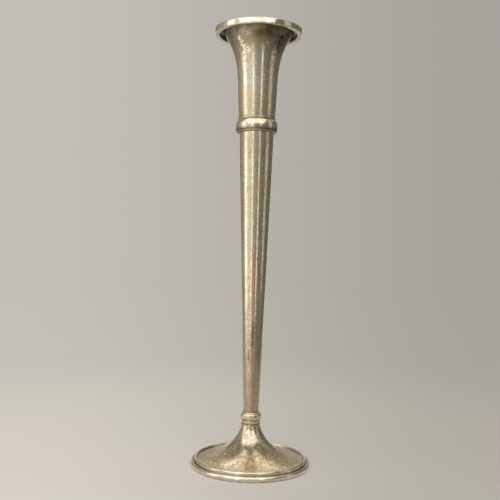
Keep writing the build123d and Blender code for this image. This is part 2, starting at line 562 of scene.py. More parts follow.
class Pitting(SharedEffect):
    """Small round pits of uneven size, in some cells of a scattered net."""

    title = "Pitting"
    inlets = {"Place": "Vector", "Spacing": "Float", "Size": "Float", "Share": "Float"}

    @classmethod
    def wire(cls, graph: Graph, given: bpy.types.NodeOutputs) -> bpy.types.NodeSocket:
        """Choose a share of the cells and make a pit at the heart of each.

        Args:
            graph: The group's nodes.
            given: The group's inputs.

        Returns:
            The mask's socket.
        """
        fed = {"Vector": given["Place"], "Scale": graph.sum("DIVIDE", 1.0, given["Spacing"])}
        cells = graph.node("TexVoronoi", fed)
        chance = graph.node("SeparateColor", {0: cells.outputs["Color"]}).outputs
        radius = graph.sum("MULTIPLY", given["Size"], graph.ease(chance[0], 0.0, 1.0, 0.35, 1.0))
        hollow = graph.ease(cells.outputs["Distance"], graph.sum("MULTIPLY", radius, 0.45), radius, 1.0, 0.0)
        chosen = graph.sum("LESS_THAN", chance[1], given["Share"])
        return graph.sum("MULTIPLY", hollow, chosen)


class RaggedSpot(SharedEffect):
    """One ragged patch about a place, broken into grains."""

    title = "Ragged Spot"
    inlets = {"Place": "Vector", "Middle": "Vector", "Reach": "Vector", "Grain": "Float", "Cover": "Float"}
    raggedness: ClassVar[float] = 1.6
    grain_edge: ClassVar[float] = 0.035

    @classmethod
    def wire(cls, graph: Graph, given: bpy.types.NodeOutputs) -> bpy.types.NodeSocket:
        """Fade a grainy noise out from the patch's middle.

        Args:
            graph: The group's nodes.
            given: The group's inputs.

        Returns:
            The mask's socket.
        """
        share = graph.vector(
            "DIVIDE", graph.vector("SUBTRACT", given["Place"], given["Middle"]), given["Reach"]
        )
        far = graph.node("VectorMath", {0: share}, operation="LENGTH").outputs["Value"]
        wander = graph.sum("SUBTRACT", graph.noise(given["Place"], 0.35, 4.0), 0.5)
        heart = graph.ease(graph.total(far, (wander, cls.raggedness)), 0.35, 1.0, 1.0, 0.0)
        grains = graph.noise(given["Place"], graph.sum("DIVIDE", 1.0, given["Grain"]), 4.0, 0.6)
        level = graph.sum("SUBTRACT", 1.0, given["Cover"])
        low, high = (graph.sum(way, level, cls.grain_edge) for way in ("SUBTRACT", "ADD"))
        return graph.sum("MULTIPLY", heart, graph.ease(grains, low, high))


class Grain(Enum):
    """The way that polishing and use have scratched a surface, as swells to a millimetre along X, Y and Z."""

    TURNED = (0.12, 0.12, 5.0)
    DRAWN = (4.0, 4.0, 0.10)
    CROSSED = (1.9, 0.35, 2.6)


class MarkLook(NamedTuple):
    """A blemish's colour and cover, the roughness that it adds, its relief and its grain in millimetres."""

    colour: Colour
    cover: float
    roughness: float
    relief: float
    grain: float
    grain_cover: float


class Mark(Enum):
    """Kinds of blemish that old plate has; some also carry painted shade, and one is a painted reflection."""

    FLECKS = MarkLook((1.0, 0.93, 0.70), 1.0, 0.16, 0.05, 1.5, 0.54)
    SPECKS = MarkLook((0.045, 0.03, 0.02), 0.92, 0.25, -0.03, 1.6, 0.60)
    # Dull tarnish, also laid on the upper flare as painted shade.
    DULL_AND_SHADE = MarkLook((0.17, 0.125, 0.085), 0.66, 0.05, 0.0, 1.9, 0.62)
    COPPER = MarkLook((0.84, 0.49, 0.29), 0.76, 0.04, 0.0, 4.5, 0.68)
    ROSY = MarkLook((0.86, 0.66, 0.52), 0.45, 0.03, 0.0, 4.5, 0.66)
    BLUSH = MarkLook((0.78, 0.52, 0.37), 0.62, 0.05, 0.02, 2.6, 0.72)
    # Painted reflection: a blue-grey patch standing for a cool thing mirrored in the mouth.
    COOL_REFLECTION = MarkLook((0.48, 0.53, 0.58), 0.72, 0.06, 0.0, 1.4, 0.64)
    STAIN = MarkLook((0.12, 0.115, 0.11), 0.72, 0.05, 0.0, 1.8, 0.68)
    HANDLED = MarkLook((0.42, 0.31, 0.24), 0.42, 0.05, -0.006, 1.2, 0.50)
    SPARKS = MarkLook((0.97, 0.86, 0.52), 0.85, 0.12, 0.07, 0.8, 0.42)
    SPECKLES = MarkLook((0.95, 0.84, 0.54), 0.70, 0.02, 0.05, 1.0, 0.36)
    # Corrosion, also laid on the foot's sides as painted shade.
    CORROSION_AND_SHADE = MarkLook((0.26, 0.19, 0.095), 0.66, 0.12, -0.05, 1.4, 0.58)


class Blemish(NamedTuple):
    """A local mark on the plate: its kind, its middle and how far it reaches each way, in millimetres."""

    kind: Mark
    middle: tuple[float, float, float]
    reach: tuple[float, float, float]


class Finish:
    """A finish of the vase: what it feeds its shader, and its relief."""

    name: str

    def coat(self, graph: Graph, place: bpy.types.NodeSocket) -> tuple[Feed, dict[str, Feed]]:
        """Wire what changes over the surface.

        Args:
            graph: The material's nodes.
            place: The place on the vase, in millimetres.

        Returns:
            The relief's height in millimetres, and what the shader's sockets are fed.
        """
        raise NotImplementedError

    def material(self) -> bpy.types.Material:
        """Mix the finish.

        Returns:
            Its material.
        """
        made = bpy.data.materials.new(self.name)
        made.use_nodes = True
        graph = Graph(made.node_tree)
        height, fed = self.coat(graph, graph.place())
        bump = graph.node("Bump", {"Height": height, "Distance": MM, "Strength": 1.0})
        shader = graph.node("BsdfPrincipled", {**fed, "Normal": bump.outputs["Normal"]})
        graph.node("OutputMaterial", {"Surface": shader.outputs[0]})
        return made


@dataclass(frozen=True)
class AgedSilver(Finish):
    """Silver plate gone warm with age: film, tarnish, pits, rubbing marks, and grime out of a cloth's reach
    that also serves as painted shade under overhangs.
    """

    name: str
    grain: Grain = Grain.TURNED
    clean: Colour = (0.94, 0.87, 0.72)
    film: Colour = (0.83, 0.70, 0.47)
    tarnish: Colour = (0.34, 0.26, 0.17)
    # Near-black brown for grime in joints and for painted shade under overhangs.
    dirt_and_shade_colour: Colour = (0.10, 0.065, 0.04)
    pit: Colour = (0.22, 0.16, 0.09)
    film_patch: float = 16.0
    film_cover: float = 0.50
    roughness: float = 0.12
    film_roughness: float = 0.07
    pit_spacing: float = 2.4
    pit_size: float = 0.30
    pit_share: float = 0.22
    speckle: float = 0.24
    speckle_size: float = 0.9
    line_weight: float = 0.16
    wipe_weight: float = 0.14
    wipe_breadth: float = 4.0
    orange_peel: float = 0.007
    blemishes: tuple[Blemish, ...] = ()

    def coat(self, graph: Graph, place: bpy.types.NodeSocket) -> tuple[Feed, dict[str, Feed]]:
        """Lay film, tarnish, marks of use, grime with painted shade, and blemishes over the clean plate.

        Args:
            graph: The material's nodes.
            place: The place on the vase, in millimetres.

        Returns:
            The relief's height in millimetres, and what the shader's sockets are fed.
        """
        film = Mottle.on(graph, Place=place, Patch=self.film_patch, Cover=self.film_cover, Soft=0.10)
        smear = Mottle.on(graph, Place=place, Patch=3.2, Cover=0.5, Soft=0.12)
        speckle = Mottle.on(graph, Place=place, Patch=self.speckle_size, Cover=0.42, Soft=0.07)
        pits = Pitting.on(
            graph, Place=place, Spacing=self.pit_spacing, Size=self.pit_size, Share=self.pit_share
        )
        lines = Hairlines.on(graph, Place=place, Run=self.grain.value, Width=0.03)
        wiping = graph.vector("MULTIPLY", place, tuple(run / self.wipe_breadth for run in self.grain.value))
        wiped = Mottle.on(graph, Place=wiping, Patch=1.0, Cover=0.5, Soft=0.10)
        peel = graph.noise(place, 0.9, 2.0, 0.6)
        crevice, rubbed, tarnish = (
            graph.node("Attribute", attribute_name=layer.value).outputs["Fac"] for layer in WearLayer
        )
        uneven = graph.ease(graph.noise(place, 0.9, 4.0), 0.3, 0.7, 0.65, 1.2)
        # Grime in joints, plus painted shade under the rim and under the collar's bead, from the first wear
        # attribute.
        dirt_and_shade = graph.sum("MULTIPLY", crevice, uneven, clamp=True)
        cloudy = graph.ease(graph.noise(place, 0.16, 5.0, 0.6), 0.3, 0.7, 0.6, 1.15)
        # Tarnish, plus painted shade on the flare below the rim and under the collar's bead.
        tarnish_and_shade = graph.sum("MULTIPLY", tarnish, cloudy, clamp=True)
        bright = graph.sum("MULTIPLY", rubbed, 0.7)
        colour = graph.layered(
            self.clean,
            (film, 0.85, self.film),
            (bright, 1.0, self.clean),
            (tarnish_and_shade, 1.0, self.tarnish),
            (smear, 0.16, self.pit),
            (speckle, self.speckle, self.pit),
            (lines, self.line_weight, self.pit),
            (wiped, self.wipe_weight, self.pit),
            (pits, 0.75, self.pit),
            (dirt_and_shade, 0.94, self.dirt_and_shade_colour),
        )
        rough = graph.total(
            self.roughness,
            (film, self.film_roughness),
            (smear, 0.05),
            (lines, 0.08),
            (pits, 0.25),
            (dirt_and_shade, 0.38),
            (tarnish_and_shade, 0.06),
            (bright, -0.03),
        )
        height = graph.total(0.0, (peel, self.orange_peel), (lines, -0.0015), (pits, -0.03))
        for kind, middle, reach in self.blemishes:
            look = kind.value
            spot = RaggedSpot.on(
                graph, Place=place, Middle=middle, Reach=reach, Grain=look.grain, Cover=look.grain_cover
            )
            colour = graph.layered(colour, (spot, look.cover, look.colour))
            rough = graph.total(rough, (spot, look.roughness))
            height = graph.total(height, (spot, look.relief))
        return height, {"Base Color": colour, "Metallic": 1.0, "Roughness": rough}


@dataclass(frozen=True)
class WorkshopMetal(Finish):
    """Plain turned or rolled metal that stays out of sight: tool lines and a little staining."""

    name: str
    bare: Colour
    stained: Colour
    grain: Grain
    roughness: float

    def coat(self, graph: Graph, place: bpy.types.NodeSocket) -> tuple[Feed, dict[str, Feed]]:
        """Stain the bare metal and score it with tool lines.

        Args:
            graph: The material's nodes.
            place: The place on the vase, in millimetres.

        Returns:
            The relief's height in millimetres, and what the shader's sockets are fed.
        """
        stain = Mottle.on(graph, Place=place, Patch=7.0, Cover=0.45, Soft=0.14)
        lines = Hairlines.on(graph, Place=place, Run=self.grain.value, Width=0.05)
        pits = Pitting.on(graph, Place=place, Spacing=1.6, Size=0.22, Share=0.15)
        colour = graph.blend(stain, self.bare, self.stained)
        rough = graph.total(self.roughness, (stain, 0.18), (lines, 0.10))
        height = graph.total(0.0, (lines, -0.004), (pits, -0.02))
        return height, {"Base Color": colour, "Metallic": 1.0, "Roughness": rough}


@dataclass(frozen=True)
class CastCement(Finish):
    """Rough cement as poured into the foot, with sand and air holes."""

    name: str = "cast_cement"
    paste: Colour = (0.52, 0.49, 0.44)
    sand: Colour = (0.66, 0.61, 0.52)
    hole: Colour = (0.20, 0.18, 0.15)

    def coat(self, graph: Graph, place: bpy.types.NodeSocket) -> tuple[Feed, dict[str, Feed]]:
        """Mix sand and air holes into the paste.

        Args:
            graph: The material's nodes.
            place: The place on the vase, in millimetres.

        Returns:
            The relief's height in millimetres, and what the shader's sockets are fed.
        """
        sand = Mottle.on(graph, Place=place, Patch=1.1, Cover=0.45, Soft=0.10)
        holes = Pitting.on(graph, Place=place, Spacing=3.0, Size=0.35, Share=0.35)
        colour = graph.layered(self.paste, (sand, 1.0, self.sand), (holes, 1.0, self.hole))
        height = graph.total(0.0, (sand, 0.08), (holes, -0.35))
        return height, {"Base Color": colour, "Roughness": 0.92}


@dataclass(frozen=True)
class Baize(Finish):
    """Dark green felted cloth with a short matted nap."""

    name: str = "green_baize"
    deep: Colour = (0.020, 0.060, 0.030)
    nap: Colour = (0.075, 0.165, 0.090)
    lint: Colour = (0.30, 0.32, 0.26)

    def coat(self, graph: Graph, place: bpy.types.NodeSocket) -> tuple[Feed, dict[str, Feed]]:
        """Matt the nap, wear it in places and leave lint on it.

        Args:
            graph: The material's nodes.
            place: The place on the vase, in millimetres.

        Returns:
            The relief's height in millimetres, and what the shader's sockets are fed.
        """
        matted = Mottle.on(graph, Place=place, Patch=0.9, Cover=0.5, Soft=0.16)
        worn = Mottle.on(graph, Place=place, Patch=13.0, Cover=0.4, Soft=0.16)
        lint = Hairlines.on(graph, Place=place, Run=Grain.CROSSED.value, Width=0.02)
        colour = graph.layered(
            self.deep, (matted, 1.0, self.nap), (worn, 0.25, self.nap), (lint, 0.22, self.lint)
        )
        height = graph.total(0.0, (matted, 0.12), (lint, 0.06))
        return height, {"Base Color": colour, "Roughness": 0.95, "Sheen Weight": 0.4}


class Assembly:
    """A sub-assembly of the vase: it builds its pieces, then dresses them."""

    lathe: ClassVar[Lathe] = Lathe()

    def build(self) -> None:
        """Model the pieces."""
        raise NotImplementedError

    def dress(self) -> None:
        """Give the pieces their finish and their place in the frame."""
        raise NotImplementedError

    def seat(self, piece: bpy.types.Object, node: str, slot: str, finish: Finish) -> None:
        """Finish a new piece and let it stand for its CAD node.

        Args:
            piece: The piece.
            node: The CAD node that it stands for.
            slot: The record's material slot; not used.
            finish: What the piece is finished with.
        """
        piece.data.materials.clear()
        piece.data.materials.append(finish.material())
        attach(piece, BODY)
        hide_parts(node)
        LOG.info("%s stands for %s: %d faces", piece.name, node, len(piece.data.polygons))


@dataclass
class TrumpetMouth(Assembly):
    """Spun mouth that opens from the collar, and the heavy band round its rim."""

    throat_radius: float = 12.88
    throat_angle: float = 85.2
    throat_lead: float = 34.0
    lip_angle: float = 60.5
    lip_lead: float = 26.2
    lip_depth: float = 1.5
    wall: float = 0.8
    seam: float = 0.05
    rim_width: float = 3.6
    rim_edge: float = 0.8
    rim_inner_edge: float = 0.4
    outer_rings: int = 90
    inner_rings: int = 56
    waver_depth: float = 0.10
    waver_size: float = 22.0
    waver_fade: float = 6.0

    def curve(self) -> SpunCurve:
        """Give the trumpet's outer curve.

        Returns:
            The curve, from the top of the collar to the lip.
        """
        mouth = span_of("mouth_trumpet")
        lip_run = self.lip_depth / math.tan(math.radians(self.lip_angle))
        return SpunCurve(
            Spot(self.throat_radius, span_of("collar_bead").high),
            self.throat_angle,
            self.throat_lead,
            Spot(mouth.radius - lip_run, mouth.high - self.lip_depth),
            self.lip_angle,
            self.lip_lead,
        )

    def trumpet_outline(self) -> Outline:
        """Draw the trumpet: up the outside from its tail in the collar, over the lip and down the inside.

        Returns:
            The closed outline.
        """
        mouth = span_of("mouth_trumpet")
        curve = self.curve()
        inner = curve.spots(self.inner_rings, self.wall)
        lean = 1 / math.tan(math.radians(self.throat_angle))
        lip_run = 1 / math.tan(math.radians(self.lip_angle))
        tail = self.throat_radius + (mouth.low - curve.start.level) * lean
        tail_bore = inner[0].radius + (mouth.low - inner[0].level) * lean
        lip_bore = inner[-1].radius + (mouth.high - inner[-1].level) * lip_run
        outline = Outline().to(tail, mouth.low).to(*curve.start, 4)
        outline.through(curve.spots(self.outer_rings)).to(mouth.radius, mouth.high, 2)
        outline.to(lip_bore, mouth.high).to(*inner[-1], 2).through(reversed(inner))
        return outline.to(tail_bore, mouth.low, 4)

    def rim_outline(self) -> Outline:
        """Draw the rim's section: a flange on the cone of the lip, and a band that hangs free of the flare.

        Returns:
            The closed outline.
        """
        rim = span_of("rim_band")
        flange = rim.high - self.lip_depth
        inner = rim.radius - self.rim_width
        seat_top = span_of("mouth_trumpet").radius + self.seam
        edge, inner_edge = self.rim_edge, self.rim_inner_edge
        outline = Outline().to(self.curve().end.radius + self.seam, flange).to(inner, flange, 3)
        outline.arc(Spot(inner + inner_edge, rim.low + inner_edge), inner_edge, inner_edge, 180, 90, 6)
        outline.arc(Spot(rim.radius - edge, rim.low + edge), edge, edge, -90, 90, 10)
        outline.arc(Spot(rim.radius - edge, rim.high - edge), edge, edge, 0, 90, 10)
        return outline.to(seat_top, rim.high)

    def build(self) -> None:
        """Turn the trumpet and the band."""
        mouth, rim = span_of("mouth_trumpet"), span_of("rim_band")
        curve = self.curve()
        lip_seam = Ring(mouth.radius, mouth.high, 0.4)
        self.trumpet = self.lathe.turn("spun_mouth", self.trumpet_outline())
        self.lathe.waver(self.trumpet, self.waver_depth, self.waver_size, self.waver_fade)
        self.lathe.knock(self.trumpet, [Ding((6.4, -16.8, 291.5), (-0.05, 0.16, 0.06), 1.8)])
        self.lathe.wear(
            self.trumpet,
            # Painted shade: the ring at the curve's end and the wide tarnish ring darken the flare just under
            # the rim, where the rim shades it; the wide ring is partly tarnish.
            crevice=[Ring(*curve.start, 0.35, 0.6), Ring(*curve.end, 2.2), lip_seam],
            rubbed=[Ring(curve.start.radius + 0.6, 266.0, 9.0)],
            tarnish=[Ring(curve.end.radius, rim.low, 14.5, 0.95)],
        )
        self.rim = self.lathe.turn("rim_ring", self.rim_outline())
        gap = Ring(rim.radius - self.rim_width, curve.end.level, 2.0)
        corner = rim.radius - 0.2
        self.lathe.wear(
            self.rim,
            # Painted shade in the gap between the hanging band and the flare, as well as grime at the seams.
            crevice=[Ring(*curve.end, 1.6), gap, lip_seam],
            rubbed=[Ring(corner, rim.high - 0.3, 0.7), Ring(corner, rim.low + 0.3, 0.6)],
        )

    def dress(self) -> None:
        """Finish the mouth with its fleck patch, specks and copper blush, a painted cool reflection and
        patches of tarnish and painted shade, and the band plainer.
        """
        marks = (
            # Painted reflection of a cool blue-grey thing, down the middle of the mouth.
            Blemish(Mark.COOL_REFLECTION, (-0.3, -15.4, 281.0), (2.2, 3.0, 9.0)),
            Blemish(Mark.BLUSH, (-3.6, -16.8, 288.6), (1.5, 3.0, 4.2)),
            Blemish(Mark.BLUSH, (2.4, -16.7, 288.6), (1.5, 3.0, 3.6)),
            Blemish(Mark.BLUSH, (-5.6, -14.8, 284.0), (1.0, 3.0, 6.0)),
            # Brown patches of tarnish and painted shade on the upper flare, beside the flecks and specks.
            Blemish(Mark.DULL_AND_SHADE, (-10.4, -14.2, 289.6), (5.6, 4.5, 9.5)),
            Blemish(Mark.DULL_AND_SHADE, (13.6, -12.4, 292.4), (5.4, 6.0, 10.5)),
            Blemish(Mark.FLECKS, (-13.2, -14.7, 295.4), (1.5, 2.4, 2.6)),
            Blemish(Mark.FLECKS, (-10.8, -14.7, 291.9), (2.4, 2.6, 3.4)),
            Blemish(Mark.FLECKS, (-8.6, -14.9, 289.2), (2.8, 2.8, 3.8)),
            Blemish(Mark.FLECKS, (-6.5, -15.0, 286.8), (2.2, 2.8, 3.8)),
            Blemish(Mark.FLECKS, (-8.6, -13.2, 284.6), (2.6, 2.8, 4.4)),
            Blemish(Mark.FLECKS, (6.2, -16.8, 291.6), (1.3, 2.0, 1.9)),
            Blemish(Mark.SPECKS, (15.3, -13.4, 296.6), (1.8, 2.6, 3.2)),
            Blemish(Mark.SPECKS, (14.2, -12.6, 293.4), (1.3, 2.4, 3.0)),
            Blemish(Mark.SPECKS, (13.1, -11.8, 290.6), (1.5, 2.4, 3.2)),
            Blemish(Mark.SPECKS, (10.7, -11.8, 285.1), (1.1, 2.2, 2.0)),
        )
        band = AgedSilver("silver_rim", film_cover=0.3, pit_share=0.16, roughness=0.07)
        plate = AgedSilver(
            "silver_mouth",
            Grain.DRAWN,
            # Dark brown for tarnish and for the painted shade on the flare below the rim.
            tarnish=(0.17, 0.13, 0.095),
            roughness=0.10,
            speckle=0.26,
            speckle_size=1.5,
            blemishes=marks,
        )
        self.seat(self.trumpet, "mouth_trumpet", "silver_body", plate)
        self.seat(self.rim, "rim_band", "silver_body", band)


@dataclass
class BeadedCollar(Assembly):
    """Half-round bead with a fine groove and band above it, over the joint of stem and mouth."""

    bead_height: float = 9.0
    bead_bulge: float = 1.84
    groove_height: float = 0.4
    band_height: float = 1.0
    band_proud: float = 0.12
    band_round: float = 0.25
    web_depth: float = 0.8
    throat_radius: float = 12.88
    throat_angle: float = 85.2
    stem_top_radius: float = 12.31
    seam: float = 0.05

    def outline(self) -> Outline:
        """Draw the collar: bead, groove and band outside, sockets for the two tubes inside.

        Returns:
            The closed outline.
        """
        collar, stem, mouth = span_of("collar_bead"), span_of("stem_tube"), span_of("mouth_trumpet")
        base = collar.radius - self.bead_bulge
        bead_middle = Spot(base, collar.low + self.bead_height / 2)
        band_foot = collar.high - self.band_height
        tail = self.throat_radius + (mouth.low - collar.high) / math.tan(math.radians(self.throat_angle))
        web_bore = stem.radius - self.web_depth
        outline = Outline().to(self.stem_top_radius + self.seam, collar.low)
        outline.arc(bead_middle, self.bead_bulge, self.bead_height / 2, -90, 180, 36)
        outline.to(base, band_foot, 2).to(base + self.band_proud, band_foot)
        band_edge = Spot(base + self.band_proud - self.band_round, collar.high - self.band_round)
        outline.arc(band_edge, self.band_round, self.band_round, 0, 90, 6)
        outline.to(self.throat_radius + self.seam, collar.high)
        outline.to(tail + self.seam, mouth.low).to(web_bore, mouth.low).to(web_bore, stem.high)
        return outline.to(stem.radius + self.seam, stem.high)

    def build(self) -> None:
        """Turn the collar."""
        collar = span_of("collar_bead")
        base = collar.radius - self.bead_bulge
        groove = collar.high - self.band_height - self.groove_height / 2
        self.collar = self.lathe.turn("bead_collar", self.outline())
        self.lathe.wear(
            self.collar,
            crevice=[
                Ring(base, groove, 0.32, 0.85),
                # Painted shade with some grime: this ring and the next darken the bead's underside.
                Ring(base + 0.3, collar.low + 0.1, 0.75, 0.95),
                Ring(base + 1.4, collar.low + 1.6, 0.62, 0.9),
            ],
            rubbed=[
                Ring(collar.radius, collar.low + self.bead_height * 0.58, 1.9),
                Ring(base + 1.05, collar.low + 0.95, 0.28, 0.7),
                Ring(base + self.band_proud, collar.high - 0.3, 0.5),
            ],
            # Tarnish and painted shade on the bead's underside.
            tarnish=[Ring(base + 1.5, collar.low + 2.1, 1.5, 0.75)],
        )

    def dress(self) -> None:
        """Finish the collar as silver worn smooth on its crown."""
        plate = AgedSilver("silver_collar", film_cover=0.55, speckle_size=1.5)
        self.seat(self.collar, "collar_bead", "silver_body", plate)


@dataclass
class TaperedStem(Assembly):
    """Long straight tapered tube between knop and collar."""

    wall: float = 0.8
    waver_depth: float = 0.10
    waver_size: float = 24.0
    waver_fade: float = 8.0
    foot_radius: float = 5.3
    outer_rings: int = 110
    bore_rings: int = 40

    def build(self) -> None:
        """Turn the tube and let it waver a little."""
        stem, collar, knop = span_of("stem_tube"), span_of("collar_bead"), span_of("knop_ring")
        taper = (stem.radius - self.foot_radius) / (stem.high - knop.high)
        foot = self.foot_radius + taper * (stem.low - knop.high)
        outline = Outline().to(foot, stem.low).to(stem.radius, stem.high, self.outer_rings)
        outline.to(stem.radius - self.wall, stem.high).to(foot - self.wall, stem.low, self.bore_rings)
        self.tube = self.lathe.turn("tapered_tube", outline)
        self.lathe.waver(self.tube, self.waver_depth, self.waver_size, self.waver_fade)
        self.lathe.wear(
            self.tube,
            crevice=[Ring(stem.radius - 0.1, collar.low, 0.35), Ring(self.foot_radius, knop.high, 0.5, 0.5)],
            rubbed=[Ring(8.0, 150.0, 40.0)],
            tarnish=[Ring(self.foot_radius, knop.high, 40.0, 0.38)],
        )

    def dress(self) -> None:
        """Finish the tube with rubbing marks, a copper blush where the plate is thin, and stains below."""
        marks = (
            Blemish(Mark.COPPER, (-0.4, -8.6, 132.0), (2.0, 3.0, 30.0)),
            Blemish(Mark.ROSY, (-3.4, -8.6, 170.0), (1.2, 3.0, 28.0)),
            Blemish(Mark.HANDLED, (0.0, 0.0, 64.0), (22.0, 22.0, 46.0)),
            Blemish(Mark.STAIN, (0.1, -7.3, 93.0), (1.1, 3.0, 14.0)),
            Blemish(Mark.STAIN, (-2.4, -6.3, 77.8), (0.6, 2.4, 5.0)),
        )
        finish = AgedSilver(
            "silver_stem",
            Grain.DRAWN,
            clean=(0.94, 0.87, 0.68),
            tarnish=(0.34, 0.275, 0.21),
            film_cover=0.52,
            roughness=0.10,
            speckle=0.28,
            speckle_size=1.4,
            line_weight=0.34,
            wipe_weight=0.24,
            orange_peel=0.010,
            blemishes=marks,
        )
        self.seat(self.tube, "stem_tube", "silver_body", finish)


@dataclass
class TurnedKnop(Assembly):
    """Small turned ring between stem and foot: a fillet, a ring and a rounded cap."""

    fillet_height: float = 2.2
    fillet_bulge: float = 0.28
    ring_height: float = 5.0
    ring_bulge: float = 1.0
    cap_height: float = 0.9
    stem_foot_radius: float = 5.3
    neck_level: float = 29.4
    spigot_radius: float = 5.6
    socket_level: float = 33.5
    bore: float = 2.2
    seam: float = 0.05

    def build(self) -> None:
        """Turn the knop."""
        knop = span_of("knop_ring")
        waist = knop.radius - self.ring_bulge
        ring_foot = self.neck_level + self.fillet_height
        cap_foot = ring_foot + self.ring_height
        cap_bore = self.stem_foot_radius + self.seam
        outline = Outline().to(self.bore, knop.low).to(self.spigot_radius, knop.low)
        outline.to(self.spigot_radius, self.neck_level)
        fillet_middle = Spot(waist, self.neck_level + self.fillet_height / 2)
        outline.arc(fillet_middle, self.fillet_bulge, self.fillet_height / 2, -90, 180, 14)
        ring_middle = Spot(waist, ring_foot + self.ring_height / 2)
        outline.arc(ring_middle, self.ring_bulge, self.ring_height / 2, -90, 180, 30)
        outline.arc(Spot(cap_bore, cap_foot), waist - cap_bore, self.cap_height, 0, 90, 10)
        outline.to(cap_bore, self.socket_level).to(self.bore, self.socket_level)
        self.knop = self.lathe.turn("knop", outline)
        self.lathe.wear(
            self.knop,
            crevice=[
                Ring(waist, self.neck_level, 0.45, 0.8),
                Ring(waist, ring_foot, 0.3, 0.25),
                Ring(waist, cap_foot, 0.25, 0.45),
                Ring(cap_bore, knop.high, 0.2, 0.5),
            ],
            rubbed=[
                Ring(knop.radius, ring_foot + self.ring_height * 0.6, 1.5),
                Ring(waist + 0.3, self.neck_level + 1.2, 0.6),
            ],
            tarnish=[
                Ring(knop.radius, ring_foot + 3.3, 0.3, 0.45),
                Ring(waist + 0.4, ring_foot + 0.3, 1.2, 0.25),
            ],
        )

    def dress(self) -> None:
        """Finish the knop as worn silver."""
        finish = AgedSilver(
            "silver_knop",
            clean=(0.96, 0.89, 0.72),
            film=(0.88, 0.75, 0.53),
            film_cover=0.5,
            roughness=0.24,
            pit_share=0.3,
            pit_spacing=1.8,
            speckle_size=1.4,
        )
        self.seat(self.knop, "knop_ring", "silver_body", finish)


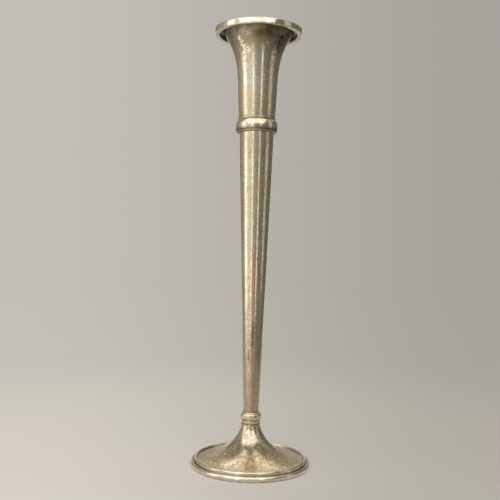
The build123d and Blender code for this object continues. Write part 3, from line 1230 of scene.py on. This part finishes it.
@dataclass
class DomedFoot(Assembly):
    """Spun foot that sweeps up into its neck, and the stepped edge that it stands on."""

    fine: ClassVar[Lathe] = Lathe(steps=256)
    neck_radius: float = 6.55
    neck_angle: float = 93.5
    neck_lead: float = 12.9
    edge_radius: float = 37.1
    edge_level: float = 4.9
    edge_angle: float = 166.5
    edge_lead: float = 14.7
    wall: float = 0.9
    seam: float = 0.05
    band_height: float = 3.6
    band_width: float = 2.4
    band_round: float = 0.8
    groove_width: float = 0.35
    groove_depth: float = 0.35
    bead_width: float = 1.9
    bead_crown: float = 1.5
    ledge_width: float = 1.85
    plate_land: float = 1.7
    plate_seat: float = 2.2
    outer_rings: int = 96
    inner_rings: int = 48
    waver_depth: float = 0.16
    waver_size: float = 15.0
    waver_fade: float = 2.5

    def curve(self) -> SpunCurve:
        """Give the foot's outer curve, from its edge to its neck."""
        shell = span_of("foot_shell")
        return SpunCurve(
            Spot(self.edge_radius, self.edge_level),
            self.edge_angle,
            self.edge_lead,
            Spot(self.neck_radius, shell.high),
            self.neck_angle,
            self.neck_lead,
        )

    def shell_outline(self) -> Outline:
        """Draw the shell: up the outside from its edge, level across the neck and down the inside.

        Returns:
            The closed outline.
        """
        curve = self.curve()
        inner = curve.spots(self.inner_rings, self.wall)
        outline = Outline().through(curve.spots(self.outer_rings))
        return outline.to(inner[-1].radius, curve.end.level).through(reversed(inner))

    def edge_outline(self) -> Outline:
        """Draw the stepped edge: band, groove and bead outside, steps for shell and plate inside.

        Returns:
            The closed outline.
        """
        edge = span_of("foot_moulding")
        side = edge.radius - self.band_round
        groove_outer = edge.radius - self.band_width
        groove_level = self.band_height - self.groove_depth
        bead_outer = groove_outer - self.groove_width
        bead_inner = bead_outer - self.bead_width
        bead_spring = edge.high - self.bead_crown
        ledge_inner = bead_inner - self.ledge_width
        recess = ledge_inner + self.plate_land
        under = self.curve().controls(self.wall + self.seam)[0]
        slope = math.tan(math.radians(self.edge_angle))
        half = self.band_height / 2
        bow = (self.band_round**2 + half**2) / (2 * self.band_round)
        swing = math.degrees(math.asin(half / bow))
        outline = Outline().to(recess, 0).to(side, 0)
        outline.arc(Spot(edge.radius - bow, half), bow, bow, -swing, 2 * swing, 16)
        outline.to(groove_outer, self.band_height).to(groove_outer, groove_level)
        outline.to(bead_outer, groove_level).to(bead_outer, bead_spring)
        bead_middle = Spot((bead_inner + bead_outer) / 2, bead_spring)
        outline.arc(bead_middle, self.bead_width / 2, self.bead_crown, 0, 180, 18)
        outline.to(bead_inner, under.y + (bead_inner - under.x) * slope)
        outline.to(ledge_inner, under.y + (ledge_inner - under.x) * slope)
        return outline.to(ledge_inner, self.plate_seat).to(recess, self.plate_seat)

    def build(self) -> None:
        """Turn the shell and the edge, and mark the knocks that the shell has had."""
        edge = span_of("foot_moulding")
        curve = self.curve()
        bead = edge.radius - self.band_width - self.groove_width - self.bead_width / 2
        self.shell = self.fine.turn("foot_dome", self.shell_outline())
        self.lathe.waver(self.shell, self.waver_depth, self.waver_size, self.waver_fade)
        dents = [
            Ding((-16.6, -12.4, 11.1), (0.05, 0.04, -0.22), 2.2),
            Ding((17.6, 4.8, 12.6), (-0.1, -0.03, -0.25), 2.6),
        ]
        self.lathe.knock(self.shell, dents)
        self.lathe.wear(
            self.shell,
            crevice=[Ring(*curve.end, 0.5, 0.7), Ring(*curve.start, 0.5, 0.5)],
            rubbed=[Ring(9.0, 20.0, 9.0)],
            tarnish=[Ring(30.0, 6.5, 13.0, 0.20)],
        )
        self.edge = self.fine.turn("foot_edge", self.edge_outline())
        groove = edge.radius - self.band_width - self.groove_width / 2
        self.lathe.wear(
            self.edge,
            crevice=[
                Ring(groove, self.band_height, 0.42),
                Ring(self.edge_radius, 4.7, 0.4, 0.6),
                Ring(edge.radius - self.band_round, 0.0, 0.7, 0.8),
            ],
            rubbed=[Ring(bead, edge.high, 0.9), Ring(edge.radius, self.band_height * 0.7, 1.1)],
        )

    def dress(self) -> None:
        """Finish the foot as pitted silver, worst on its right front, its left and right sides darkened by
        corrosion and by painted shade.
        """
        marks = (
            # Corrosion and painted shade that darken the foot's right front and left side.
            Blemish(Mark.CORROSION_AND_SHADE, (26.0, -10.0, 6.5), (17.0, 24.0, 15.0)),
            Blemish(Mark.CORROSION_AND_SHADE, (-28.0, -6.0, 8.2), (14.0, 22.0, 11.0)),
            Blemish(Mark.SPARKS, (22.0, -16.0, 7.5), (13.0, 13.0, 9.0)),
            Blemish(Mark.SPARKS, (-26.0, -4.0, 8.2), (13.0, 14.0, 9.0)),
            Blemish(Mark.SPARKS, (20.0, 8.0, 10.0), (13.0, 10.0, 9.0)),
            Blemish(Mark.SPECKLES, (0.0, 0.0, 6.0), (60.0, 60.0, 20.0)),
        )
        finish = AgedSilver(
            "silver_foot_dome",
            Grain.CROSSED,
            clean=(0.89, 0.80, 0.62),
            film=(0.72, 0.59, 0.38),
            film_cover=0.62,
            film_patch=12.0,
            pit_share=0.42,
            pit_spacing=1.9,
            speckle=0.45,
            speckle_size=1.5,
            orange_peel=0.009,
            blemishes=marks,
        )
        self.seat(self.shell, "foot_shell", "silver_foot", finish)
        self.seat(self.edge, "foot_moulding", "silver_foot", AgedSilver("silver_foot_edge", pit_share=0.3))


@dataclass
class FeltPad(Assembly):
    """Disc of baize glued under the base plate, cut a little small, with a soft edge."""

    slack: float = 0.04
    nap_depth: float = 0.06
    nap_size: float = 1.6
    nap_fade: float = 0.05

    def build(self) -> None:
        """Turn the disc with a rounded edge and roughen it."""
        pad = span_of("base_felt")
        half = (pad.high - pad.low) / 2 - self.slack
        middle = (pad.high + pad.low) / 2
        rim = Spot(pad.radius - half, middle)
        outline = Outline().to(0, middle - half).to(rim.radius, middle - half, 40)
        outline.arc(rim, half - self.slack, half, -90, 180, 10)
        outline.to(0, middle + half, 12)
        self.pad = self.lathe.turn("felt_pad", outline)
        self.lathe.waver(self.pad, self.nap_depth, self.nap_size, self.nap_fade)

    def dress(self) -> None:
        self.seat(self.pad, "base_felt", "felt", Baize())


@dataclass
class HiddenTie(Assembly):
    """What holds the vase together inside: CAD nodes that keep their shape and get a finish."""

    brass: WorkshopMetal = WorkshopMetal(
        "turned_brass", (0.78, 0.60, 0.31), (0.55, 0.40, 0.20), Grain.TURNED, 0.26
    )
    plate: WorkshopMetal = WorkshopMetal(
        "sheet_brass", (0.74, 0.58, 0.33), (0.46, 0.36, 0.22), Grain.CROSSED, 0.34
    )
    steel: WorkshopMetal = WorkshopMetal(
        "plain_steel", (0.56, 0.56, 0.57), (0.36, 0.32, 0.29), Grain.TURNED, 0.36
    )
    cement: CastCement = CastCement()

    def build(self) -> None:
        """Gather the nodes under the finish that each one takes."""
        self.dressed = {
            self.brass: ("stem_plug",),
            self.plate: ("base_plate",),
            self.steel: ("tie_stud", "tie_washer", "tie_nut"),
            self.cement: ("foot_filling",),
        }

    def dress(self) -> None:
        """Put each finish on its nodes."""
        for finish, nodes in self.dressed.items():
            material = finish.material()
            for node in nodes:
                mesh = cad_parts[node].data
                mesh.materials.clear()
                mesh.materials.append(material)
                LOG.info("%s keeps its shape, finished as %s", node, finish.name)


@dataclass(frozen=True)
class PaleSweep:
    """Matt pale paper that sweeps up all round and glows with painted light, brighter to the vase's left and
    darker to its right.

    Bearings are degrees from the viewer as seen from the vase, and right of the viewer is positive. What lies
    in view behind the vase stays pale. Lengths are metres.
    """

    name: str = "pale_sweep"
    tint: Colour = (1.0, 0.96, 0.88)
    # Painted falloff of light across the paper in view, from the left to the right.
    glow_left: float = 0.54
    glow_right: float = 0.38
    view_slope: float = 0.345
    view_start: float = -0.51
    view_edge: tuple[float, float] = (0.0, 0.22)
    front_edge: tuple[float, float] = (0.05, 0.34)
    matt_reach: tuple[float, float] = (0.18, 0.55)
    matt_left: float = 0.06
    near_glow: float = 0.6
    # Painted light on the upper wall, darker in front and brighter behind.
    upper_front: float = 0.26
    upper_back: float = 0.36
    upper_reach: tuple[float, float] = (1.45, 2.2)
    upper_turn: tuple[float, float] = (-0.8, 0.8)
    # Painted light by bearing: bright glowing panels to the vase's left, dark ones to its right.
    glow_by_bearing: tuple[tuple[float, float], ...] = (
        (-180.0, 0.26),
        (-140.0, 0.28),
        (-105.0, 0.40),
        (-64.0, 0.86),
        (-32.0, 0.80),
        (-4.0, 0.40),
        (34.0, 0.24),
        (60.0, 0.19),
        (105.0, 0.17),
        (140.0, 0.16),
        (180.0, 0.26),
    )

    def shade(self, level: float) -> Colour:
        """Give the paper's tint at a level of brightness."""
        return tuple(level * share for share in self.tint)

    def material(self) -> bpy.types.Material:
        """Mix the paper. Its tone glows as painted light to the camera and in what the vase mirrors, and takes
        its shadow.

        Returns:
            Its material.
        """
        made = bpy.data.materials.new(self.name)
        made.use_nodes = True
        graph = Graph(made.node_tree)
        x, y, z = graph.node("SeparateXYZ", {0: graph.node("TexCoord").outputs["Object"]}).outputs
        forward = graph.sum("MULTIPLY", y, -1.0)
        turn = graph.sum("MULTIPLY_ADD", graph.sum("ARCTAN2", x, forward), 1 / math.tau, 0.5)
        # Painted light panels by bearing.
        card_glow = graph.ramp(turn, [(degrees / 360 + 0.5, self.shade(level)) for degrees, level in self.glow_by_bearing])
        away = graph.sum("SUBTRACT", y, self.view_start)
        half = graph.sum("MULTIPLY", away, self.view_slope)
        beside = graph.ease(graph.sum("SUBTRACT", graph.sum("ABSOLUTE", x), half), *self.view_edge)
        before = graph.ease(forward, *self.front_edge)
        slant = graph.ease(graph.sum("DIVIDE", x, away), -self.view_slope, self.view_slope)
        # Painted falloff of light from left to right.
        pale = graph.blend(slant, self.shade(self.glow_left), self.shade(self.glow_right))
        tone = graph.blend(graph.sum("MAXIMUM", beside, before), pale, card_glow)
        high_back = graph.ease(y, *self.upper_turn)
        above = graph.blend(high_back, self.shade(self.upper_front), self.shade(self.upper_back))
        tone = graph.blend(graph.ease(z, *self.upper_reach), tone, above)
        ray = graph.node("LightPath").outputs
        shown = graph.sum("MAXIMUM", ray["Is Camera Ray"], ray["Is Glossy Ray"])
        shown = graph.sum("MAXIMUM", shown, ray["Is Transmission Ray"])
        radius = graph.sum("SQRT", graph.sum("MULTIPLY_ADD", x, x, graph.sum("MULTIPLY", y, y)))
        own = graph.ease(radius, *self.matt_reach, self.near_glow, 1.0)
        faded = graph.vector("MULTIPLY", tone, (self.matt_left,) * 3)
        lit = graph.blend(graph.ease(radius, *self.matt_reach), tone, faded)
        glow = graph.node("Emission", {"Color": tone, "Strength": graph.sum("MULTIPLY", shown, own)})
        matt = graph.node("BsdfDiffuse", {"Color": lit})
        both = graph.node("AddShader", {0: glow.outputs[0], 1: matt.outputs[0]})
        graph.node("OutputMaterial", {"Surface": both.outputs[0]})
        return made


@dataclass(frozen=True)
class SoftLight:
    """A long soft light that stands on the floor round the vase, or hangs over it, and faces it.

    Bearing, breadth and the angle that it is raised by are degrees as seen from the vase, and right of the
    viewer is positive. Its height and its distance are metres.
    """

    name: str
    bearing: float
    breadth: float
    radiance: float
    height: float = 1.7
    distance: float = 1.1
    raised: float = 0.0
    tint: Colour = (1.0, 0.96, 0.88)

    def hang(self) -> None:
        """Put the light up."""
        turn, rise = math.radians(self.bearing), math.radians(self.raised)
        width = 2 * self.distance * math.tan(math.radians(self.breadth / 2))
        level = math.cos(rise)
        place = Vector((math.sin(turn) * level, -math.cos(turn) * level, math.sin(rise))) * self.distance
        facing = (-place).to_track_quat("-Z", "Y")
        place.z = max(place.z, self.height / 2)
        bpy.ops.object.select_all(action="DESELECT")
        bpy.ops.object.light_add(type="AREA", location=place, rotation=facing.to_euler())
        lamp = bpy.context.object
        lamp.name = self.name
        lamp.data.shape = "RECTANGLE"
        lamp.data.size, lamp.data.size_y = width, self.height
        lamp.data.color = self.tint
        lamp.data.energy = self.radiance * math.pi * width * self.height
        LOG.info("%s is up", self.name)


@dataclass
class Studio:
    """Round pale sweep, soft lights and the camera."""

    floor_radius: float = 2400.0
    sweep_radius: float = 600.0
    wall_top: float = 3600.0
    sky: Colour = (0.24, 0.225, 0.19)
    lens: float = 52.21
    camera_place: tuple[float, float, float] = (-2.95, -509.52, 152.20)
    camera_pitch: float = -0.173
    camera_roll: float = 1.159
    lights: tuple[SoftLight, ...] = (
        SoftLight("key_light", -75.0, 22.0, 0.82, distance=0.66),
        SoftLight("left_strip", -23.0, 7.0, 0.86, distance=0.62),
        SoftLight("right_strip", 22.5, 6.0, 0.98, distance=0.62),
        SoftLight("right_panel", 79.0, 22.0, 0.34),
        SoftLight("back_strip", 161.0, 6.0, 0.75, distance=0.62),
        SoftLight("far_strip", -158.0, 8.0, 0.60, distance=0.70),
        SoftLight("front_panel", -4.0, 84.0, 1.1, distance=1.6, raised=50.0),
        SoftLight("top_panel", 180.0, 34.0, 0.85, height=1.5, distance=1.8, raised=66.0),
    )

    def lay_sweep(self) -> None:
        """Spin the floor and the wall that it sweeps up into."""
        outline = Outline().to(0.0, 0.0).to(self.floor_radius, 0.0, 6)
        middle = Spot(self.floor_radius, self.sweep_radius)
        outline.arc(middle, self.sweep_radius, self.sweep_radius, -90, 90, 24)
        outline.to(self.floor_radius + self.sweep_radius, self.wall_top, 4)
        sweep = Lathe(steps=96).turn("sweep", outline, closed=False)
        sweep.data.materials.append(PaleSweep().material())

    def hang_sky(self) -> None:
        """Let soft light in from above, through the open top of the sweep."""
        world = bpy.data.worlds.new("soft_sky")
        world.use_nodes = True
        graph = Graph(world.node_tree)
        glow = graph.node("Background", {"Color": self.sky, "Strength": 1.0})
        graph.node("OutputWorld", {"Surface": glow.outputs[0]})
        bpy.context.scene.world = world

    def stand_camera(self) -> None:
        """Put the camera where the vase is seen from, a little tilted."""
        bpy.ops.object.select_all(action="DESELECT")
        bpy.ops.object.camera_add(location=Vector(self.camera_place) * MM)
        camera = bpy.context.object
        camera.name = "camera"
        camera.data.lens = self.lens
        camera.rotation_mode = "ZYX"
        camera.rotation_euler = (math.radians(90 + self.camera_pitch), 0.0, math.radians(self.camera_roll))
        bpy.context.scene.camera = camera

    def set_up(self) -> None:
        """Put everything round the vase and keep plain colours."""
        self.lay_sweep()
        self.hang_sky()
        for light in self.lights:
            light.hang()
        self.stand_camera()
        bpy.context.scene.view_settings.view_transform = "Standard"


def main() -> None:
    """Build and dress the vase from the mouth down, then set the studio round it."""
    logging.basicConfig(level=logging.INFO, format="%(name)s: %(message)s")
    for assembly in (
        TrumpetMouth(),
        BeadedCollar(),
        TaperedStem(),
        TurnedKnop(),
        DomedFoot(),
        FeltPad(),
        HiddenTie(),
    ):
        assembly.build()
        assembly.dress()
    Studio().set_up()


if __name__ == "__main__":
    main()
